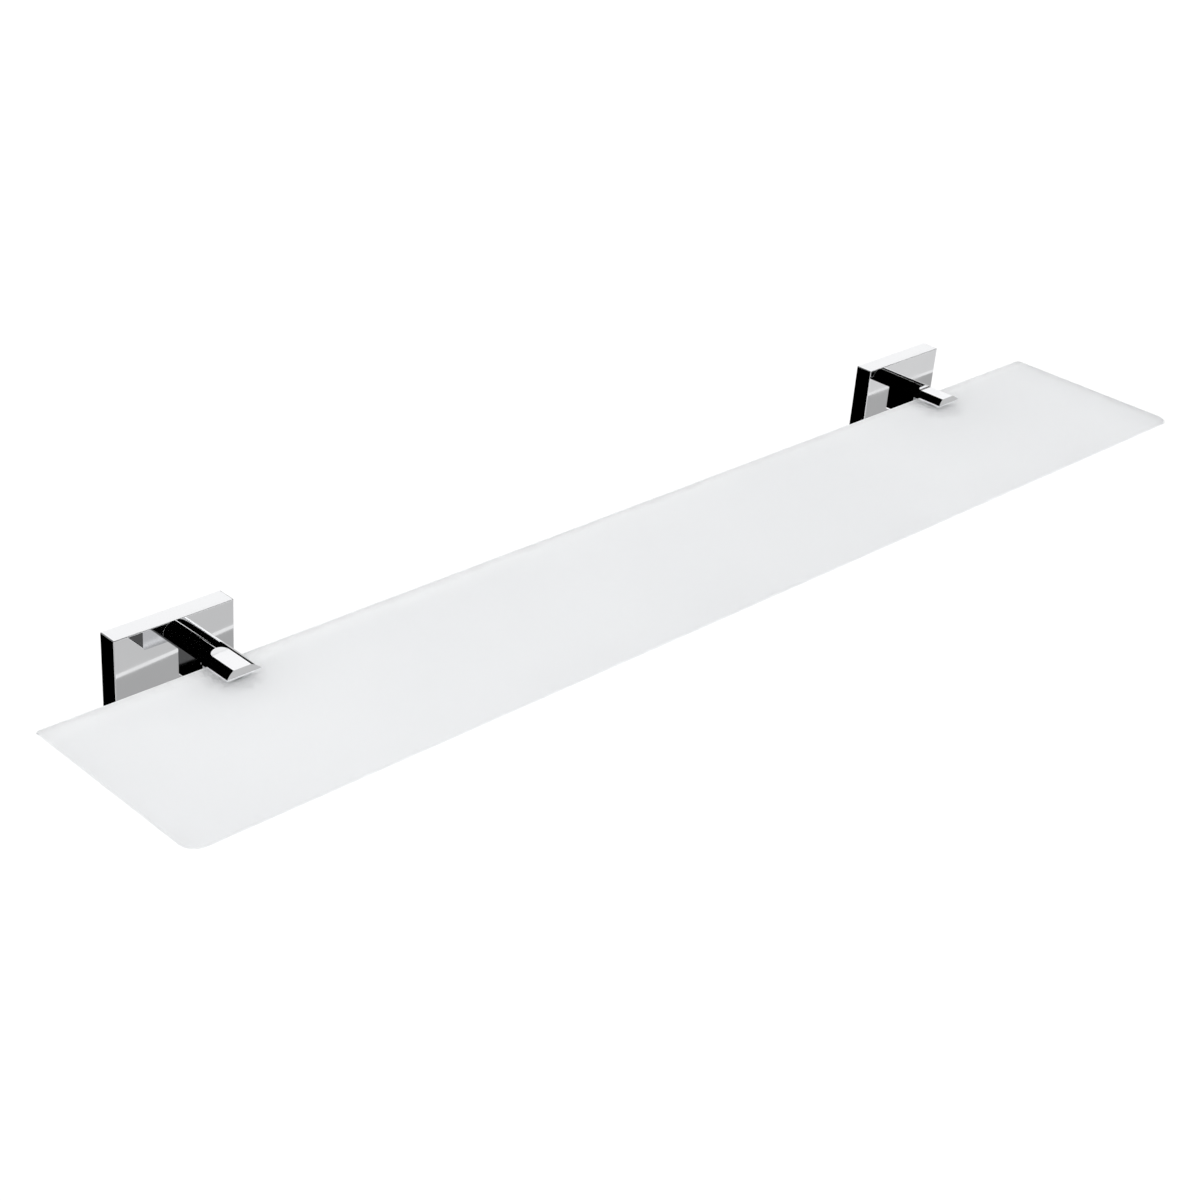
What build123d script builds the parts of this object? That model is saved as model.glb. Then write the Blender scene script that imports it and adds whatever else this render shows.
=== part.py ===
from build123d import *

import os

# Wall shelf: a glass pane held at its back edge by two clamp brackets.
# Millimetres. X runs along the shelf, -Y points out of the wall, +Z is up.
# The origin is on the wall plane, midway along the pane, level with the pane's top.

# Driving dimensions of the pane
glass_length = 600.0
glass_depth = 95.0
glass_thickness = 5.0
front_corner_radius = 7.0
back_corner_radius = 1.5
glass_arris = 0.6

# Driving dimensions of the brackets
arm_spacing = 438.0
cover_width = 56.0
cover_height = 36.0
cover_depth = 9.0
cover_wall = 2.0
arm_width = 16.0
arm_reach = 45.0
arm_overlap = 15.0
arm_rise = 3.0
arm_lip = 0.8
pad_thickness = 0.5
pad_inset = 1.5
pad_corner = 1.0
edge_round = 0.35

# The nose is cut back at a slant, and a level flat in the crown runs out through it
nose_setback = 1.7
flat_length = 18.0
flat_depth = 0.7
flat_ramp = 3.0

# The spine joins the arm to the lower jaw behind the pane, clear of the cover
spine_width = 14.0
spine_setback = 12.0
spine_clearance = 2.0
jaw_width = 14.0
jaw_thickness = 6.0
jaw_gap = 1.6
jaw_setback = 2.5
jaw_round = 1.2

# Pins and screws, by radius
arm_pin_radius = 1.0
arm_pin_spacing = 7.0
arm_pin_height = 2.2
arm_pin_hole = 9.0
arm_pin_end_gap = 1.0
jaw_screw_radius = 1.5
jaw_screw_head_radius = 2.8
jaw_screw_head = 2.0
jaw_screw_grip = 4.5
jaw_screw_end_gap = 0.5
jaw_screw_inset = 4.5
jaw_screw_socket_width = 2.0
clamp_screw_radius = 2.5
clamp_running_gap = 0.05
clamp_pad_radius = 4.5
clamp_pad_room = 0.25
clamp_recess = 1.8
clamp_socket_width = 2.5
clamp_socket_depth = 2.2
lock_screw_radius = 2.0
lock_screw_length = 6.5
lock_screw_inset = 0.4
lock_socket_width = 2.0
lock_socket_depth = 2.0
socket_sides = 6

# Plate screwed to the wall inside each cover
plate_width = 48.0
plate_height = 27.0
plate_thickness = 2.5
plate_corner = 2.0
wall_hole_radius = 2.5
wall_hole_spacing = 30.0
lug_width = 10.0
lug_height = 6.0
lug_reach = 3.8
lug_clearance = 0.3

# Heights and depths that follow from the driving dimensions
glass_back = -(cover_depth + arm_reach - arm_overlap)
nose_tip = -(cover_depth + arm_reach)
arm_bottom = pad_thickness
arm_top = arm_bottom + arm_lip + arm_rise
cover_top = arm_top
cover_bottom = cover_top - cover_height
cover_middle = (cover_top + cover_bottom) / 2
cover_inner_face = -(cover_depth - cover_wall)
jaw_top = -(glass_thickness + jaw_gap)
jaw_bottom = jaw_top - jaw_thickness
spine_back = -(cover_depth + spine_setback)
spine_front = glass_back + spine_clearance
jaw_front = nose_tip + jaw_setback
clamp_middle = glass_back - arm_overlap / 2
jaw_screw_places = [spine_back - jaw_screw_inset, spine_front + jaw_screw_inset]
lug_bottom = cover_bottom + cover_wall + lug_clearance
lug_middle_y = -(plate_thickness + lug_reach / 2)

# The left cover is centred on its arm; the right arm leaves its cover's inner end
arm_place = {"left": -arm_spacing / 2, "right": arm_spacing / 2}
cover_place = {
    "left": arm_place["left"],
    "right": arm_place["right"] + (cover_width - arm_width) / 2,
}


def save(piece, name):
    """Label a finished piece and write it as its own STEP file."""
    piece.part.label = name
    export_step(piece.part, f"parts/{name}.step")


def arm_pin_places(side):
    """Centres of the two pins that hold an arm, on the cover's face."""
    x = arm_place[side]
    return [(x - arm_pin_spacing / 2, arm_pin_height), (x + arm_pin_spacing / 2, arm_pin_height)]


def make_glass():
    """The pane: rounded front corners and a fine arris round both faces."""
    middle = glass_back - glass_depth / 2
    with BuildPart() as glass:
        with BuildSketch(Plane.XY.offset(-glass_thickness)):
            with Locations((0, middle)):
                Rectangle(glass_length, glass_depth)
        extrude(amount=glass_thickness)
        fillet(glass.edges().filter_by(Axis.Z).group_by(Axis.Y)[0], front_corner_radius)
        fillet(glass.edges().filter_by(Axis.Z).group_by(Axis.Y)[-1], back_corner_radius)
        chamfer(glass.faces().filter_by(Axis.Z).edges(), glass_arris)
    save(glass, "glass_shelf")


def make_cover(side):
    """The shallow box that hides the wall plate and carries the arm."""
    x = cover_place[side]
    with BuildPart() as cover:
        with BuildSketch(Plane.XZ):
            with Locations((x, cover_middle)):
                Rectangle(cover_width, cover_height)
        extrude(amount=cover_depth)
        fillet(cover.edges().filter_by(Axis.Y), edge_round)
        fillet(cover.faces().sort_by(Axis.Y)[0].edges(), edge_round)
        with BuildSketch(Plane.XZ):
            with Locations((x, cover_middle)):
                Rectangle(cover_width - 2 * cover_wall, cover_height - 2 * cover_wall)
        extrude(amount=cover_depth - cover_wall, mode=Mode.SUBTRACT)
        with BuildSketch(Plane.XZ.offset(cover_depth - cover_wall)):
            with Locations(*arm_pin_places(side)):
                Circle(arm_pin_radius)
        extrude(amount=cover_wall, mode=Mode.SUBTRACT)
        with BuildSketch(Plane.XY.offset(cover_bottom)):
            with Locations((x, lug_middle_y)):
                Circle(lock_screw_radius)
        extrude(amount=cover_wall, mode=Mode.SUBTRACT)
    save(cover, f"{side}_wall_cover")


def make_wall_plate(side):
    """The steel plate the cover hangs on, with two wall holes and a lug below."""
    x = cover_place[side]
    top = cover_top - cover_wall
    middle = top - plate_height / 2
    with BuildPart() as plate:
        with BuildSketch(Plane.XZ):
            with Locations((x, middle)):
                RectangleRounded(plate_width, plate_height, plate_corner)
            with Locations((x, cover_middle)):
                with GridLocations(wall_hole_spacing, 0, 2, 1):
                    Circle(wall_hole_radius, mode=Mode.SUBTRACT)
        extrude(amount=plate_thickness)
        with BuildSketch(Plane.XY.offset(lug_bottom)):
            with Locations((x, -(plate_thickness + lug_reach) / 2)):
                Rectangle(lug_width, plate_thickness + lug_reach)
        extrude(amount=lug_height)
        with BuildSketch(Plane.XY.offset(lug_bottom)):
            with Locations((x, lug_middle_y)):
                Circle(lock_screw_radius)
        extrude(amount=lug_height, mode=Mode.SUBTRACT)
    save(plate, f"{side}_wall_plate")


def make_lock_screw(side):
    """The socket set screw that locks the cover on its wall plate from below."""
    x = cover_place[side]
    foot = cover_bottom + lock_screw_inset
    with BuildPart() as screw:
        with BuildSketch(Plane.XY.offset(foot)):
            with Locations((x, lug_middle_y)):
                Circle(lock_screw_radius)
        extrude(amount=lock_screw_length)
        with BuildSketch(Plane.XY.offset(foot)):
            with Locations((x, lug_middle_y)):
                RegularPolygon(lock_socket_width / 2, socket_sides, major_radius=False)
        extrude(amount=lock_socket_depth, mode=Mode.SUBTRACT)
    save(screw, f"{side}_lock_screw")


def make_arm(side):
    """The domed arm, its slanted nose and crown flat, and the spine under its root."""
    x = arm_place[side]
    shoulder = arm_bottom + arm_lip
    flat_start = nose_tip + flat_length
    flat_level = arm_top - flat_depth
    above_arm = 2 * arm_top
    with BuildPart() as arm:
        with BuildSketch(Plane.XZ.offset(cover_depth)):
            with BuildLine():
                base = Line((x - arm_width / 2, arm_bottom), (x + arm_width / 2, arm_bottom))
                right_lip = Line(base @ 1, (x + arm_width / 2, shoulder))
                crown = ThreePointArc(right_lip @ 1, (x, arm_top), (x - arm_width / 2, shoulder))
                Line(crown @ 1, base @ 0)
            make_face()
        extrude(amount=arm_reach)
        with BuildSketch(Plane.YZ.offset(x - arm_width)):
            with BuildLine():
                Polyline(
                    (nose_tip, arm_bottom + arm_lip),
                    (nose_tip + nose_setback, arm_top),
                    (nose_tip - nose_setback, arm_top),
                    (nose_tip - nose_setback, arm_bottom + arm_lip),
                    close=True,
                )
            make_face()
        extrude(amount=2 * arm_width, mode=Mode.SUBTRACT)
        with BuildSketch(Plane.YZ.offset(x - arm_width)):
            with BuildLine():
                level = Line((nose_tip, flat_level), (flat_start - flat_ramp, flat_level))
                ramp = TangentArc(level @ 1, (flat_start, arm_top), tangent=level % 1)
                Polyline(ramp @ 1, (flat_start, above_arm), (nose_tip, above_arm), level @ 0)
            make_face()
        extrude(amount=2 * arm_width, mode=Mode.SUBTRACT)
        with BuildSketch(Plane.XY.offset(jaw_top)):
            with Locations((x, (spine_front + spine_back) / 2)):
                Rectangle(spine_width, spine_back - spine_front)
        extrude(amount=arm_bottom - jaw_top)
        with BuildSketch(Plane.XZ.offset(cover_depth)):
            with Locations(*arm_pin_places(side)):
                Circle(arm_pin_radius)
        extrude(amount=arm_pin_hole, mode=Mode.SUBTRACT)
        with BuildSketch(Plane.XY.offset(jaw_top)):
            with Locations(*[(x, place) for place in jaw_screw_places]):
                Circle(jaw_screw_radius)
        extrude(amount=jaw_screw_grip, mode=Mode.SUBTRACT)
    save(arm, f"{side}_upper_arm")


def make_lower_jaw(side):
    """The bar under the pane, with the clamp screw's thread and the pad's recess."""
    x = arm_place[side]
    middle = (jaw_front + spine_back) / 2
    with BuildPart() as jaw:
        with BuildSketch(Plane.XY.offset(jaw_bottom)):
            with Locations((x, middle)):
                Rectangle(jaw_width, spine_back - jaw_front)
        extrude(amount=jaw_thickness)
        fillet(jaw.edges().filter_by(Axis.Z).group_by(Axis.Y)[0], 2 * jaw_round)
        fillet(jaw.faces().sort_by(Axis.Z)[0].edges().sort_by(Axis.Y)[:-1], jaw_round)
        with BuildSketch(Plane.XY.offset(jaw_top)):
            with Locations((x, clamp_middle)):
                Circle(clamp_pad_radius + clamp_pad_room)
        extrude(amount=-clamp_recess, mode=Mode.SUBTRACT)
        with BuildSketch(Plane.XY.offset(jaw_bottom)):
            with Locations((x, clamp_middle)):
                Circle(clamp_screw_radius + clamp_running_gap)
        extrude(amount=jaw_thickness, mode=Mode.SUBTRACT)
        with BuildSketch(Plane.XY.offset(jaw_bottom)):
            with Locations(*[(x, place) for place in jaw_screw_places]):
                Circle(jaw_screw_radius)
        extrude(amount=jaw_thickness, mode=Mode.SUBTRACT)
        with BuildSketch(Plane.XY.offset(jaw_bottom)):
            with Locations(*[(x, place) for place in jaw_screw_places]):
                Circle(jaw_screw_head_radius)
        extrude(amount=jaw_screw_head, mode=Mode.SUBTRACT)
    save(jaw, f"{side}_lower_jaw")


def make_arm_pins(side):
    """Two pins, side by side, brazed through the cover's face into the root of the arm."""
    with BuildPart() as pins:
        with BuildSketch(Plane.XZ.offset(-cover_inner_face)):
            with Locations(*arm_pin_places(side)):
                Circle(arm_pin_radius)
        extrude(amount=cover_wall + arm_pin_hole - arm_pin_end_gap)
    save(pins, f"{side}_arm_pins")


def make_jaw_screws(side):
    """Two screws from below that hold the lower jaw up against the spine."""
    places = [(arm_place[side], place) for place in jaw_screw_places]
    with BuildPart() as screws:
        with BuildSketch(Plane.XY.offset(jaw_bottom)):
            with Locations(*places):
                Circle(jaw_screw_head_radius)
        extrude(amount=jaw_screw_head)
        with BuildSketch(Plane.XY.offset(jaw_bottom + jaw_screw_head)):
            with Locations(*places):
                Circle(jaw_screw_radius)
        extrude(amount=jaw_thickness - jaw_screw_head + jaw_screw_grip - jaw_screw_end_gap)
        with BuildSketch(Plane.XY.offset(jaw_bottom)):
            with Locations(*places):
                RegularPolygon(jaw_screw_socket_width / 2, socket_sides, major_radius=False)
        extrude(amount=jaw_screw_head / 2, mode=Mode.SUBTRACT)
    save(screws, f"{side}_jaw_screws")


def make_upper_pad(side):
    """The thin soft pad between the arm and the pane's top face."""
    length = arm_overlap - 2 * jaw_setback
    with BuildPart() as pad:
        with BuildSketch(Plane.XY):
            with Locations((arm_place[side], clamp_middle)):
                RectangleRounded(arm_width - 2 * pad_inset, length, pad_corner)
        extrude(amount=pad_thickness)
    save(pad, f"{side}_upper_pad")


def make_clamp_pad(side):
    """The round pad that the clamp screw presses against the pane's underside."""
    with BuildPart() as pad:
        with BuildSketch(Plane.XY.offset(jaw_top)):
            with Locations((arm_place[side], clamp_middle)):
                Circle(clamp_pad_radius)
        extrude(amount=jaw_gap)
    save(pad, f"{side}_clamp_pad")


def make_clamp_screw(side):
    """The socket set screw in the jaw that lifts the clamp pad."""
    with BuildPart() as screw:
        with BuildSketch(Plane.XY.offset(jaw_bottom)):
            with Locations((arm_place[side], clamp_middle)):
                Circle(clamp_screw_radius)
        extrude(amount=jaw_thickness)
        chamfer(screw.edges().filter_by(GeomType.CIRCLE), edge_round)
        with BuildSketch(Plane.XY.offset(jaw_bottom)):
            with Locations((arm_place[side], clamp_middle)):
                RegularPolygon(clamp_socket_width / 2, socket_sides, major_radius=False)
        extrude(amount=clamp_socket_depth, mode=Mode.SUBTRACT)
    save(screw, f"{side}_clamp_screw")


os.makedirs("parts", exist_ok=True)
make_glass()
for side in ("left", "right"):
    make_cover(side)
    make_wall_plate(side)
    make_lock_screw(side)
    make_arm(side)
    make_lower_jaw(side)
    make_arm_pins(side)
    make_jaw_screws(side)
    make_upper_pad(side)
    make_clamp_pad(side)
    make_clamp_screw(side)
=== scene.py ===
"""Wall shelf with brackets: materials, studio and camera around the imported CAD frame.

Metres, in the frame's own axes: the wall plane is y = 0, -Y points out of the wall, +Z is up.
"""

from math import cos, radians, sin

import bpy
from mathutils import Matrix, Quaternion, Vector


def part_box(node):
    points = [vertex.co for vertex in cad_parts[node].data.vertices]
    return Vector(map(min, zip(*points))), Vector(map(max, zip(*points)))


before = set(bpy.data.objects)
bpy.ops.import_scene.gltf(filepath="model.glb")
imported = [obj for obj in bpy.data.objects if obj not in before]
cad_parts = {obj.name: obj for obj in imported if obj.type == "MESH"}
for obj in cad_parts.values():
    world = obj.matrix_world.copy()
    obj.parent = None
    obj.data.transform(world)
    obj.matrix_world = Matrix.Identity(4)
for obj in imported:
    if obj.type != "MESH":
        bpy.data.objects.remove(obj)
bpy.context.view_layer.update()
scene = bpy.context.scene

MM = 0.001

# Camera, as an orbit round a point near the pane's middle. Sensor and lens are in millimetres
AZIMUTH = radians(-46.9)
ELEVATION = radians(28.7)
ROLL = radians(4.8)
DISTANCE = 0.891
TARGET = Vector((-0.066, -0.0906, -0.0017))
SENSOR = 36.0
LENS = 64.7

# World: the light, the room that mirrors see, and the backdrop that the camera sees
WHITE = (1, 1, 1, 1)
WORLD_STRENGTH = 1.6
ROOM_HORIZON = 0.22
ROOM_OVERHEAD = 1.0
ROOM_BRIGHT_FROM = 0.7
BACKDROP = 0.80

# Floor
FLOOR_Z = -2.0
FLOOR_SIZE = 24.0
FLOOR_COLOUR = (0.66, 0.66, 0.66, 1)
FLOOR_ROUGHNESS = 0.9

# Cards that only mirrors see: the planes they lie in, and the ways they face
CANOPY_Z = 0.40
BEHIND_WALL_Y = 0.60
LOW_Z = -0.50
UP = (0, 0, 1)
DOWN = (0, 0, -1)
TO_WALL = (0, 1, 0)
FROM_WALL = (0, -1, 0)
BLACK = 0.0

# The three strips in front and below, which a cover's face mirrors as bands
STRIP_LENGTH = 1.0
UPPER_WIDTH = 0.400
LINE_WIDTH = 0.005
LOWER_WIDTH = 0.160
LINE_SHADE = 0.85
LOWER_SHADE = 0.40

# The pane: its two tints, the reach of its painted highlight band from the back edge, and its etched
# layer's depth
PANE_TINT = (0.888, 0.893, 0.899)
# The paler tint serves both the random cloudiness and the painted highlight band at the back edge
PANE_CLOUD_AND_HIGHLIGHT_TINT = (0.950, 0.954, 0.957)
HIGHLIGHT_FADES_OUT = 7 * MM
HIGHLIGHT_FULL = 4 * MM
ETCH_FULL = 0.1 * MM
ETCH_FADES_OUT = 0.5 * MM
ETCHED_TRANSMISSION = 0.05


def material(name, build, **sockets):
    """A node material: build(tree, shader) adds the procedural part, sockets set constants."""
    mat = bpy.data.materials.new(name)
    mat.use_nodes = True
    tree = mat.node_tree
    shader = tree.nodes["Principled BSDF"]
    for socket, value in sockets.items():
        shader.inputs[socket.replace("_", " ")].default_value = value
    build(tree, shader)
    return mat


def node(tree, kind, **inputs):
    """One node with its input values set by name."""
    made = tree.nodes.new(kind)
    for name, value in inputs.items():
        made.inputs[name.replace("_", " ")].default_value = value
    return made


def object_points(tree, stretch=(1, 1, 1)):
    """Object coordinates, stretched per axis, as a socket. CAD meshes lie in true metres."""
    coords = tree.nodes.new("ShaderNodeTexCoord")
    mapping = tree.nodes.new("ShaderNodeMapping")
    mapping.inputs["Scale"].default_value = stretch
    tree.links.new(coords.outputs["Object"], mapping.inputs["Vector"])
    return mapping.outputs["Vector"]


def noise(tree, points, scale, detail=4.0, roughness=0.55):
    """Noise value between 0 and 1 at a scale given in cells per metre."""
    made = node(tree, "ShaderNodeTexNoise", Scale=scale, Detail=detail, Roughness=roughness)
    tree.links.new(points, made.inputs["Vector"])
    return made.outputs["Fac"]


def ramp(tree, value, low, high, out_low, out_high):
    """Maps a value from one range to another, clamped."""
    made = tree.nodes.new("ShaderNodeMapRange")
    made.inputs["From Min"].default_value = low
    made.inputs["From Max"].default_value = high
    made.inputs["To Min"].default_value = out_low
    made.inputs["To Max"].default_value = out_high
    tree.links.new(value, made.inputs["Value"])
    return made.outputs["Result"]


def two_colours(tree, value, dark, light):
    """A colour between two, chosen by a value from 0 to 1."""
    made = tree.nodes.new("ShaderNodeMix")
    made.data_type = "RGBA"
    made.inputs["A"].default_value = (*dark, 1)
    made.inputs["B"].default_value = (*light, 1)
    tree.links.new(value, made.inputs["Factor"])
    return made.outputs["Result"]


def larger(tree, first, second):
    """The larger of two values."""
    made = tree.nodes.new("ShaderNodeMath")
    made.operation = "MAXIMUM"
    tree.links.new(first, made.inputs[0])
    tree.links.new(second, made.inputs[1])
    return made.outputs[0]


def along(tree, axis, low, high):
    """0 below low on an axis, 1 above high, in the frame's metres."""
    coords = tree.nodes.new("ShaderNodeTexCoord")
    parts = tree.nodes.new("ShaderNodeSeparateXYZ")
    tree.links.new(coords.outputs["Object"], parts.inputs["Vector"])
    return ramp(tree, parts.outputs[axis], low, high, 0.0, 1.0)


def upright(tree):
    """1 on the faces that stand upright, 0 on level ones, whichever side they are seen from."""
    geometry = tree.nodes.new("ShaderNodeNewGeometry")
    parts = tree.nodes.new("ShaderNodeSeparateXYZ")
    tree.links.new(geometry.outputs["Normal"], parts.inputs["Vector"])
    levelness = tree.nodes.new("ShaderNodeMath")
    levelness.operation = "ABSOLUTE"
    tree.links.new(parts.outputs["Z"], levelness.inputs[0])
    return ramp(tree, levelness.outputs[0], low=0.2, high=0.6, out_low=1.0, out_high=0.0)


def bump(tree, shader, value, distance, strength):
    """Fine relief from a value, with its depth in metres."""
    made = node(tree, "ShaderNodeBump", Distance=distance, Strength=strength)
    tree.links.new(value, made.inputs["Height"])
    tree.links.new(made.outputs["Normal"], shader.inputs["Normal"])


def chrome(tree, shader):
    """Mirror chrome with a faint cloudiness from wiping, in its tint and its roughness."""
    points = object_points(tree)
    cloud = noise(tree, points, scale=45, detail=5)
    tint = two_colours(tree, cloud, dark=(0.90, 0.905, 0.92), light=(0.95, 0.955, 0.965))
    tree.links.new(tint, shader.inputs["Base Color"])
    rough = ramp(tree, cloud, low=0.35, high=0.75, out_low=0.012, out_high=0.03)
    tree.links.new(rough, shader.inputs["Roughness"])


def satin_glass(tree, shader):
    """Satin glass with ground white edges, an etched white underside and a painted highlight: a paler band
    along the back edge.
    """
    points = object_points(tree)
    low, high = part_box("glass_shelf")
    cloud = ramp(tree, noise(tree, points, scale=9, detail=3), low=0.3, high=0.7, out_low=0.0, out_high=0.3)
    # Painted highlight: the base colour turns paler in a band along the back edge
    painted_back_highlight = along(tree, "Y", high.y - HIGHLIGHT_FADES_OUT, high.y - HIGHLIGHT_FULL)
    # The random cloudiness and the painted highlight band, whichever is paler
    cloud_and_highlight = larger(tree, cloud, painted_back_highlight)
    tint = two_colours(tree, cloud_and_highlight, dark=PANE_TINT, light=PANE_CLOUD_AND_HIGHLIGHT_TINT)
    tree.links.new(tint, shader.inputs["Base Color"])
    above_etching = along(tree, "Z", low.z + ETCH_FULL, low.z + ETCH_FADES_OUT)
    etched = ramp(tree, above_etching, low=0, high=1, out_low=1.0, out_high=0.0)
    white = larger(tree, etched, upright(tree))
    grain = noise(tree, points, scale=2600, detail=3)
    satin = ramp(tree, grain, low=0.3, high=0.7, out_low=0.36, out_high=0.44)
    tree.links.new(satin, shader.inputs["Roughness"])
    clear = ramp(tree, white, low=0, high=1, out_low=1.0, out_high=ETCHED_TRANSMISSION)
    tree.links.new(clear, shader.inputs["Transmission Weight"])
    bump(tree, shader, grain, distance=0.01 * MM, strength=0.1)


def zinc(tree, shader):
    """Zinc-plated sheet: soft crystalline patches under a dull sheen."""
    points = object_points(tree)
    patches = node(tree, "ShaderNodeTexVoronoi", Scale=420)
    tree.links.new(points, patches.inputs["Vector"])
    tint = two_colours(tree, patches.outputs["Distance"], dark=(0.50, 0.51, 0.53), light=(0.68, 0.69, 0.71))
    tree.links.new(tint, shader.inputs["Base Color"])
    rough = ramp(tree, noise(tree, points, scale=160), low=0.3, high=0.7, out_low=0.28, out_high=0.48)
    tree.links.new(rough, shader.inputs["Roughness"])
    bump(tree, shader, noise(tree, points, scale=1500), distance=0.02 * MM, strength=0.4)


def turned_steel(tree, shader):
    """Machined steel with fine turning lines round the Z axis, along which the screws stand."""
    points = object_points(tree)
    lines = noise(tree, object_points(tree, stretch=(1, 1, 12)), scale=900, detail=2)
    mottle = noise(tree, points, scale=300)
    tint = two_colours(tree, mottle, dark=(0.52, 0.53, 0.55), light=(0.66, 0.66, 0.67))
    tree.links.new(tint, shader.inputs["Base Color"])
    rough = ramp(tree, lines, low=0.3, high=0.7, out_low=0.2, out_high=0.36)
    tree.links.new(rough, shader.inputs["Roughness"])
    bump(tree, shader, lines, distance=0.01 * MM, strength=0.4)


def soft_plastic(dark, light, rough_low, rough_high):
    """Builds a moulded plastic with a fine grain between two colours."""
    def build(tree, shader):
        points = object_points(tree)
        grain = noise(tree, points, scale=1400, detail=3)
        tint = two_colours(tree, noise(tree, points, scale=240), dark, light)
        tree.links.new(tint, shader.inputs["Base Color"])
        rough = ramp(tree, grain, low=0.3, high=0.7, out_low=rough_low, out_high=rough_high)
        tree.links.new(rough, shader.inputs["Roughness"])
        bump(tree, shader, grain, distance=0.03 * MM, strength=0.4)
    return build


upper_pad = soft_plastic((0.78, 0.79, 0.79), (0.86, 0.87, 0.87), rough_low=0.3, rough_high=0.45)
clamp_pad = soft_plastic((0.80, 0.80, 0.78), (0.88, 0.88, 0.86), rough_low=0.35, rough_high=0.5)

MATERIALS = {
    "polished_chrome": material("polished_chrome", chrome, Metallic=1.0),
    "satin_glass": material("satin_glass", satin_glass, IOR=1.5),
    "zinc_steel": material("zinc_steel", zinc, Metallic=1.0),
    "screw_steel": material("screw_steel", turned_steel, Metallic=1.0),
    "clear_pad": material("clear_pad", upper_pad),
    "nylon_pad": material("nylon_pad", clamp_pad),
}


def camera():
    """The camera on its orbit, rolled a little about its own line of sight."""
    data = bpy.data.cameras.new("camera")
    data.sensor_width = SENSOR
    data.lens = LENS
    cam = bpy.data.objects.new("camera", data)
    scene.collection.objects.link(cam)
    back = Vector((sin(AZIMUTH) * cos(ELEVATION), -cos(AZIMUTH) * cos(ELEVATION), sin(ELEVATION)))
    cam.rotation_mode = "QUATERNION"
    level = (-back).to_track_quat("-Z", "Y")
    cam.rotation_quaternion = Matrix.Rotation(ROLL, 3, back).to_quaternion() @ level
    cam.location = TARGET + back * DISTANCE
    scene.camera = cam


def rectangle(name, width, height, z=0.0):
    """A new object that is one level rectangle, with its middle on the Z axis."""
    half_w = width / 2
    half_h = height / 2
    corners = [(-half_w, -half_h, z), (half_w, -half_h, z), (half_w, half_h, z), (-half_w, half_h, z)]
    mesh = bpy.data.meshes.new(name)
    mesh.from_pydata(corners, [], [(0, 1, 2, 3)])
    made = bpy.data.objects.new(name, mesh)
    scene.collection.objects.link(made)
    return made


def flat_card(name, centre, facing, size, shade, turn=0.0):
    """A plain card that only mirrors see: its centre, facing, size, grey and turn about +Z."""
    card = rectangle(name, *size)
    card.rotation_mode = "QUATERNION"
    card.rotation_quaternion = Quaternion(UP, turn) @ Vector(facing).to_track_quat("Z", "Y")
    card.location = centre
    mat = bpy.data.materials.new(name)
    mat.use_nodes = True
    tree = mat.node_tree
    tree.nodes.remove(tree.nodes["Principled BSDF"])
    glow = node(tree, "ShaderNodeEmission", Color=(shade, shade, shade, 1), Strength=1.0)
    tree.links.new(glow.outputs[0], tree.nodes["Material Output"].inputs["Surface"])
    card.data.materials.append(mat)
    card.visible_camera = False
    card.visible_diffuse = False
    card.visible_shadow = False
    card.visible_transmission = False


def bands(name, line, turn, upper_shade):
    """A pale strip, a thin white line and a darker strip, side by side, low in front."""
    across = Vector((-sin(turn), cos(turn)))
    strips = (
        ("upper", -(LINE_WIDTH + UPPER_WIDTH) / 2, UPPER_WIDTH, upper_shade),
        ("line", 0.0, LINE_WIDTH, LINE_SHADE),
        ("lower", (LINE_WIDTH + LOWER_WIDTH) / 2, LOWER_WIDTH, LOWER_SHADE),
    )
    for strip, offset, width, shade in strips:
        middle = Vector(line) + offset * across
        flat_card(f"{name}_{strip}", (*middle, LOW_Z), UP, (STRIP_LENGTH, width), shade, turn)


def mixed(tree, factor, first, second):
    """A mix of two shader nodes by a factor."""
    made = tree.nodes.new("ShaderNodeMixShader")
    tree.links.new(factor, made.inputs[0])
    tree.links.new(first.outputs[0], made.inputs[1])
    tree.links.new(second.outputs[0], made.inputs[2])
    return made


def surroundings():
    """White light all round, a softer room for mirrors to show, and a pale grey backdrop."""
    world = bpy.data.worlds.new("studio")
    scene.world = world
    world.use_nodes = True
    tree = world.node_tree
    even = tree.nodes["Background"]
    even.inputs["Color"].default_value = WHITE
    even.inputs["Strength"].default_value = WORLD_STRENGTH
    # The room is dark grey at the horizon and white overhead
    coords = tree.nodes.new("ShaderNodeTexCoord")
    parts = tree.nodes.new("ShaderNodeSeparateXYZ")
    tree.links.new(coords.outputs["Generated"], parts.inputs["Vector"])
    room = node(tree, "ShaderNodeBackground", Color=WHITE)
    rising = ramp(tree, parts.outputs["Z"], 0.0, ROOM_BRIGHT_FROM, ROOM_HORIZON, ROOM_OVERHEAD)
    tree.links.new(rising, room.inputs["Strength"])
    backdrop = node(tree, "ShaderNodeBackground", Color=WHITE, Strength=BACKDROP)
    # Rays through the rough glass count as glossy too, and they still get the even light
    paths = tree.nodes.new("ShaderNodeLightPath")
    mirrored = tree.nodes.new("ShaderNodeMath")
    mirrored.operation = "SUBTRACT"
    mirrored.use_clamp = True
    tree.links.new(paths.outputs["Is Glossy Ray"], mirrored.inputs[0])
    tree.links.new(paths.outputs["Is Transmission Ray"], mirrored.inputs[1])
    lit = mixed(tree, mirrored.outputs[0], even, room)
    seen = mixed(tree, paths.outputs["Is Camera Ray"], lit, backdrop)
    tree.links.new(seen.outputs[0], tree.nodes["World Output"].inputs["Surface"])


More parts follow.
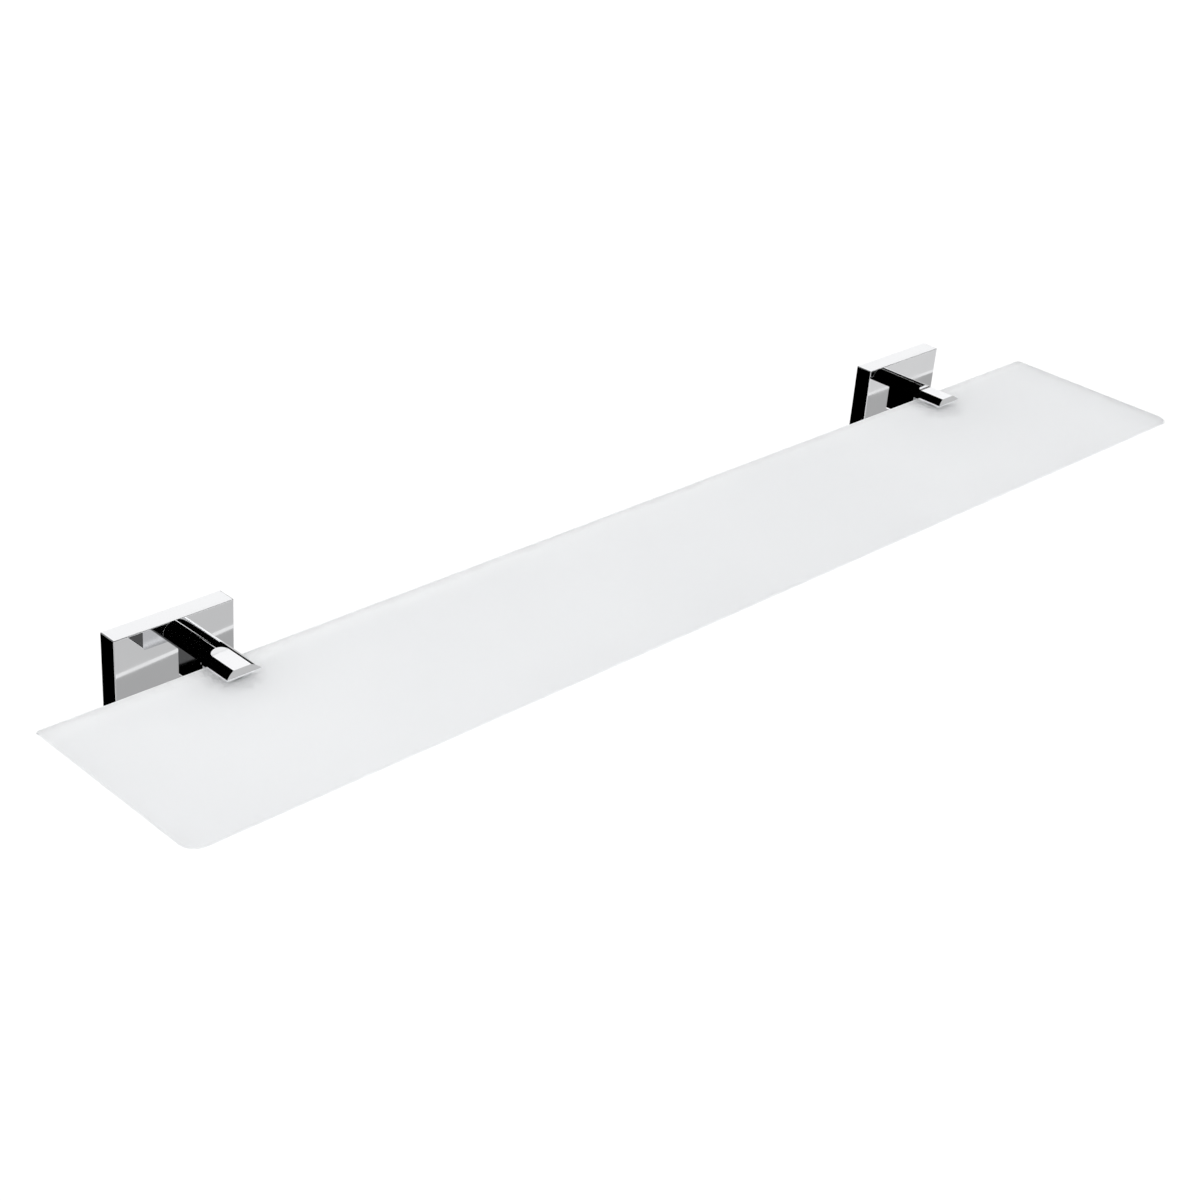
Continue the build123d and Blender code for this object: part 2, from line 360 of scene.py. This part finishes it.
def pale_floor():
    """A plain pale floor, far enough below to leave the underside in view."""
    floor = rectangle("floor", FLOOR_SIZE, FLOOR_SIZE, FLOOR_Z)
    mat = bpy.data.materials.new("floor")
    mat.use_nodes = True
    shader = mat.node_tree.nodes["Principled BSDF"]
    shader.inputs["Base Color"].default_value = FLOOR_COLOUR
    shader.inputs["Roughness"].default_value = FLOOR_ROUGHNESS
    floor.data.materials.append(mat)


def cards():
    """The flags, grey cards, windows and strips that give the chrome its reflections."""
    # Black flags that the arms' domes and the covers' left sides mirror
    flat_card("canopy_flag", (0.4, BEHIND_WALL_Y - 0.325, CANOPY_Z), DOWN, (4.0, 0.75), BLACK)
    flat_card("back_flag", (0.9, BEHIND_WALL_Y, 0.165), FROM_WALL, (3.0, 0.57), BLACK)
    # A pale grey card low at the back, which the left dome's far flank mirrors
    flat_card("low_back_card", (0.25, BEHIND_WALL_Y, -0.36), FROM_WALL, (1.0, 0.48), shade=0.60)
    flat_card("left_flag", (-0.60, 0.50, -0.33), (1, -0.8, 0), (1.0, 0.5), BLACK)
    # A black flag high in front, which the covers' faces show in the domes' mirror images
    flat_card("front_flag", (0.3, -0.78, 1.09), TO_WALL, (3.6, 1.22), BLACK)
    # Two dark cards low in front on the left, which the left spine and the jaw below it mirror
    # by way of their cover
    flat_card("spine_flag", (-0.74, -0.82, LOW_Z), UP, (0.6, 0.276), shade=0.085)
    flat_card("jaw_flag", (-0.74, -0.57, LOW_Z), UP, (0.6, 0.224), BLACK)
    # A pale grey card in front, which the slanted noses mirror
    flat_card("nose_card", (0.75, -0.75, 0.25), TO_WALL, (2.2, 0.42), shade=0.54)
    # White windows in the canopy, each kind once for the left bracket and once for the right:
    # for the covers' tops, the arms' crown flats and the flats' ramps
    window_z = CANOPY_Z - 1 * MM
    ramp_shift = 0.047
    for x in (0.170, 1.060):
        flat_card("cover_window", (x, 0.584, window_z), DOWN, (0.120, 0.040), shade=0.98)
    for x in (0.172, 1.022):
        flat_card("flat_window", (x, 0.473, window_z), DOWN, (0.070, 0.080), shade=1.0)
        flat_card("ramp_window", (x - ramp_shift, 0.351, window_z), DOWN, (0.150, 0.162), shade=0.85)
    for x in (0.0275, 0.745):
        flat_card("ramp_end_window", (x, 0.095, window_z), DOWN, (0.095, 0.350), shade=0.90)
    # The left strips are turned a little, so that their line slopes in the left cover's face
    bands("left", line=(0.27, -0.703), turn=radians(-4.7), upper_shade=0.55)
    bands("right", line=(1.25, -0.705), turn=0.0, upper_shade=0.66)


def dress(cad):
    """Gives a CAD node's slots the finished materials that its packed ones are named after."""
    for held in cad.material_slots:
        key = next((k for k in MATERIALS if held.material and k in held.material.name), None)
        if key:
            held.material = MATERIALS[key]


camera()
surroundings()
pale_floor()
cards()
scene.view_settings.view_transform = "Standard"

for cad_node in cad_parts.values():
    dress(cad_node)
